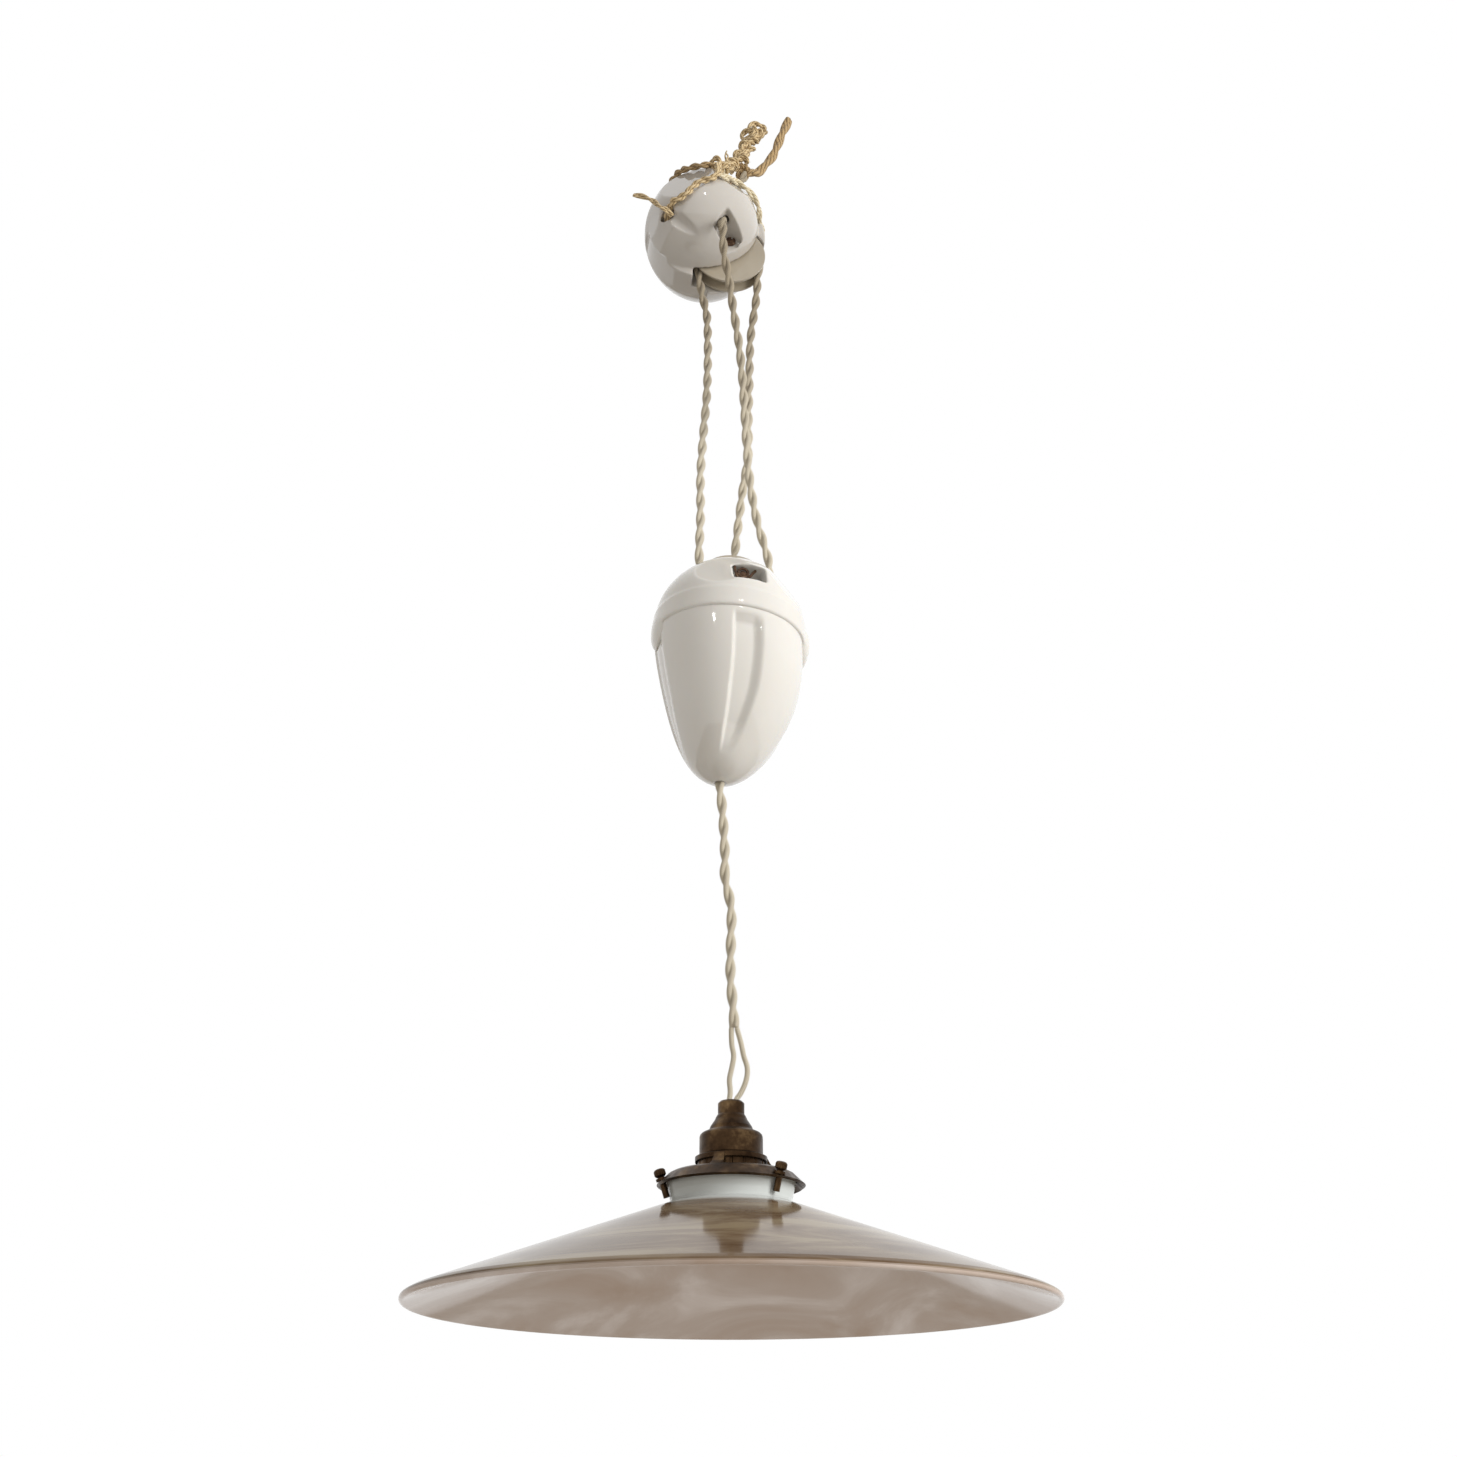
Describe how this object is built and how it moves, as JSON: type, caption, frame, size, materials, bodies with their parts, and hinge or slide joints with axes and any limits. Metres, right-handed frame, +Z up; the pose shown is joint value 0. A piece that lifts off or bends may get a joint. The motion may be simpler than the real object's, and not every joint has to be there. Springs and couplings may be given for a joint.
{
  "type": "rise and fall pendant lamp",
  "caption": "Rise and fall pendant: porcelain pulley block and acorn counterweight on twisted cotton flex, with a shallow glass coolie shade on an aged brass lampholder",
  "frame": {"origin": "top of the hanging loop that the pendant is hung by", "axes": "+Z up along the line of the pull, +X to the right and +Y away from the viewer in the picture"},
  "size_m": [0.28, 0.28, 0.7106],
  "materials": {
    "porcelain": "glossy white glaze",
    "insulator": "unglazed porcelain",
    "iron": "dark, lightly rusted",
    "steel": "drawn",
    "brass": "aged, brown in the hollows",
    "opal_glass": "glossy, white cased",
    "flex_cloth": "braided cotton",
    "twine": "raw hemp",
    "old_flex": "worn cotton"
  },
  "bodies": {
    "root": {"block_body": "porcelain", "block_axle": "iron", "block_cotters": "iron", "twine_sling": "twine", "twine_wrap": "twine", "twine_knots": "twine", "twine_tail": "twine", "supply_flex": "old_flex", "supply_knot": "old_flex", "cord_feed": "flex_cloth", "cord_fixed_strand": "flex_cloth", "cord_left_strand": "flex_cloth", "cord_lamp_strand": "flex_cloth", "cord_block_turn": "flex_cloth"},
    "block_wheel": {"block_wheel": "porcelain"},
    "counterweight": {"weight_body": "porcelain", "weight_cap": "porcelain", "weight_axle": "iron", "weight_cotter": "iron", "weight_guide": "steel", "weight_ballast": "iron", "cord_weight_turn": "flex_cloth", "cord_weight_run": "flex_cloth", "cord_drop": "flex_cloth"},
    "weight_wheel": {"weight_wheel": "porcelain"},
    "lamp": {"cord_split": "flex_cloth", "cord_grip": "insulator", "holder_cap": "brass", "holder_barrel": "brass", "holder_insulator": "insulator", "holder_posts": "brass", "holder_screws": "brass", "shade_ring": "brass", "gallery": "brass", "glass_shade": "opal_glass", "spring_left": "steel", "spring_right": "steel"},
    "contact_left": {"contact_left": "brass"},
    "contact_right": {"contact_right": "brass"},
    "thumbscrew_front": {"thumbscrew_front": "brass"},
    "thumbscrew_back": {"thumbscrew_back": "brass"},
    "thumbscrew_left": {"thumbscrew_left": "brass"}
  },
  "joints": [
    {"name": "counterweight_slide", "type": "slide", "parent": "root", "child": "counterweight", "axis": [0, 0, 1], "range_m": [-0.04, 0.18], "deforming": ["cord_fixed_strand", "cord_left_strand", "cord_lamp_strand"]},
    {"name": "lamp_drop", "type": "slide", "parent": "counterweight", "child": "lamp", "axis": [0, 0, 1], "range_m": [-0.54, 0.12], "deforming": ["cord_drop"]},
    {"name": "block_wheel_spin", "type": "hinge", "parent": "root", "child": "block_wheel", "pos_m": [-0.0185, 0, -0.115], "axis": [-0.1045, 0.9945, 0], "continuous": true},
    {"name": "weight_wheel_spin", "type": "hinge", "parent": "counterweight", "child": "weight_wheel", "pos_m": [-0.01542, -0.00682, -0.357], "axis": [-0.225, 0.9744, 0], "continuous": true},
    {"name": "contact_left_travel", "type": "slide", "parent": "lamp", "child": "contact_left", "axis": [0, 0, 1], "range_m": [0, 0.0025], "stiffness_N_per_m": 800, "springref_m": -0.001, "deforming": ["spring_left"]},
    {"name": "contact_right_travel", "type": "slide", "parent": "lamp", "child": "contact_right", "axis": [0, 0, 1], "range_m": [0, 0.0025], "stiffness_N_per_m": 800, "springref_m": -0.001, "deforming": ["spring_right"]},
    {"name": "thumbscrew_front_travel", "type": "slide", "parent": "lamp", "child": "thumbscrew_front", "axis": [0.2068, -0.2296, 0.9511], "range_m": [0, 0.006]},
    {"name": "thumbscrew_back_travel", "type": "slide", "parent": "lamp", "child": "thumbscrew_back", "axis": [0.0955, 0.2939, 0.9511], "range_m": [0, 0.006]},
    {"name": "thumbscrew_left_travel", "type": "slide", "parent": "lamp", "child": "thumbscrew_left", "axis": [-0.3023, -0.0642, 0.9511], "range_m": [0, 0.006]}
  ],
  "couplings": [
    {"joint": "lamp_drop", "follows": "counterweight_slide", "ratio": -3},
    {"joint": "block_wheel_spin", "follows": "counterweight_slide", "rad_per_m": 108.11},
    {"joint": "weight_wheel_spin", "follows": "counterweight_slide", "rad_per_m": 54.054}
  ]
}
